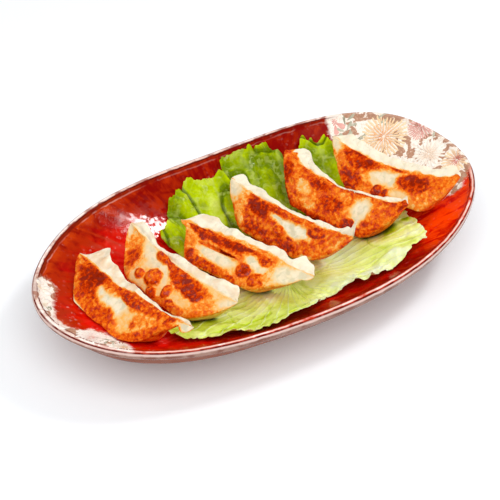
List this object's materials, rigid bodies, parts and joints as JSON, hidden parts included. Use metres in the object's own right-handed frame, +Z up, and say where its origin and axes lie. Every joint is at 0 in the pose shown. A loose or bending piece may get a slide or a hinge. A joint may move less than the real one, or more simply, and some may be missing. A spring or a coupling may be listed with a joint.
{
  "type": "gyoza dumplings",
  "caption": "Pan-fried gyoza dumplings lying across lettuce leaves in an oval, hand-formed, glazed stoneware dish with a raised rim and a foot ring.",
  "frame": {"origin": "middle of the dish's foot, on the surface it stands on, under the middle of the dish", "axes": "+X along the dish's length, towards its floral end; +Y across the dish, towards the dumplings' back tips; +Z up"},
  "size_m": [0.2744, 0.1531, 0.0553],
  "materials": {
    "glazed_stoneware": "mottled red gloss glaze",
    "fried_dough": "oily browned dough",
    "lettuce": "moist leaf"
  },
  "bodies": {
    "root": {"dish": "glazed_stoneware", "gyoza_1": "fried_dough", "gyoza_2": "fried_dough", "gyoza_3": "fried_dough", "gyoza_4": "fried_dough", "gyoza_5": "fried_dough", "gyoza_6": "fried_dough", "leaf_back_left": "lettuce", "leaf_back_mid": "lettuce", "leaf_back_right": "lettuce", "leaf_front": "lettuce"}
  },
  "joints": []
}
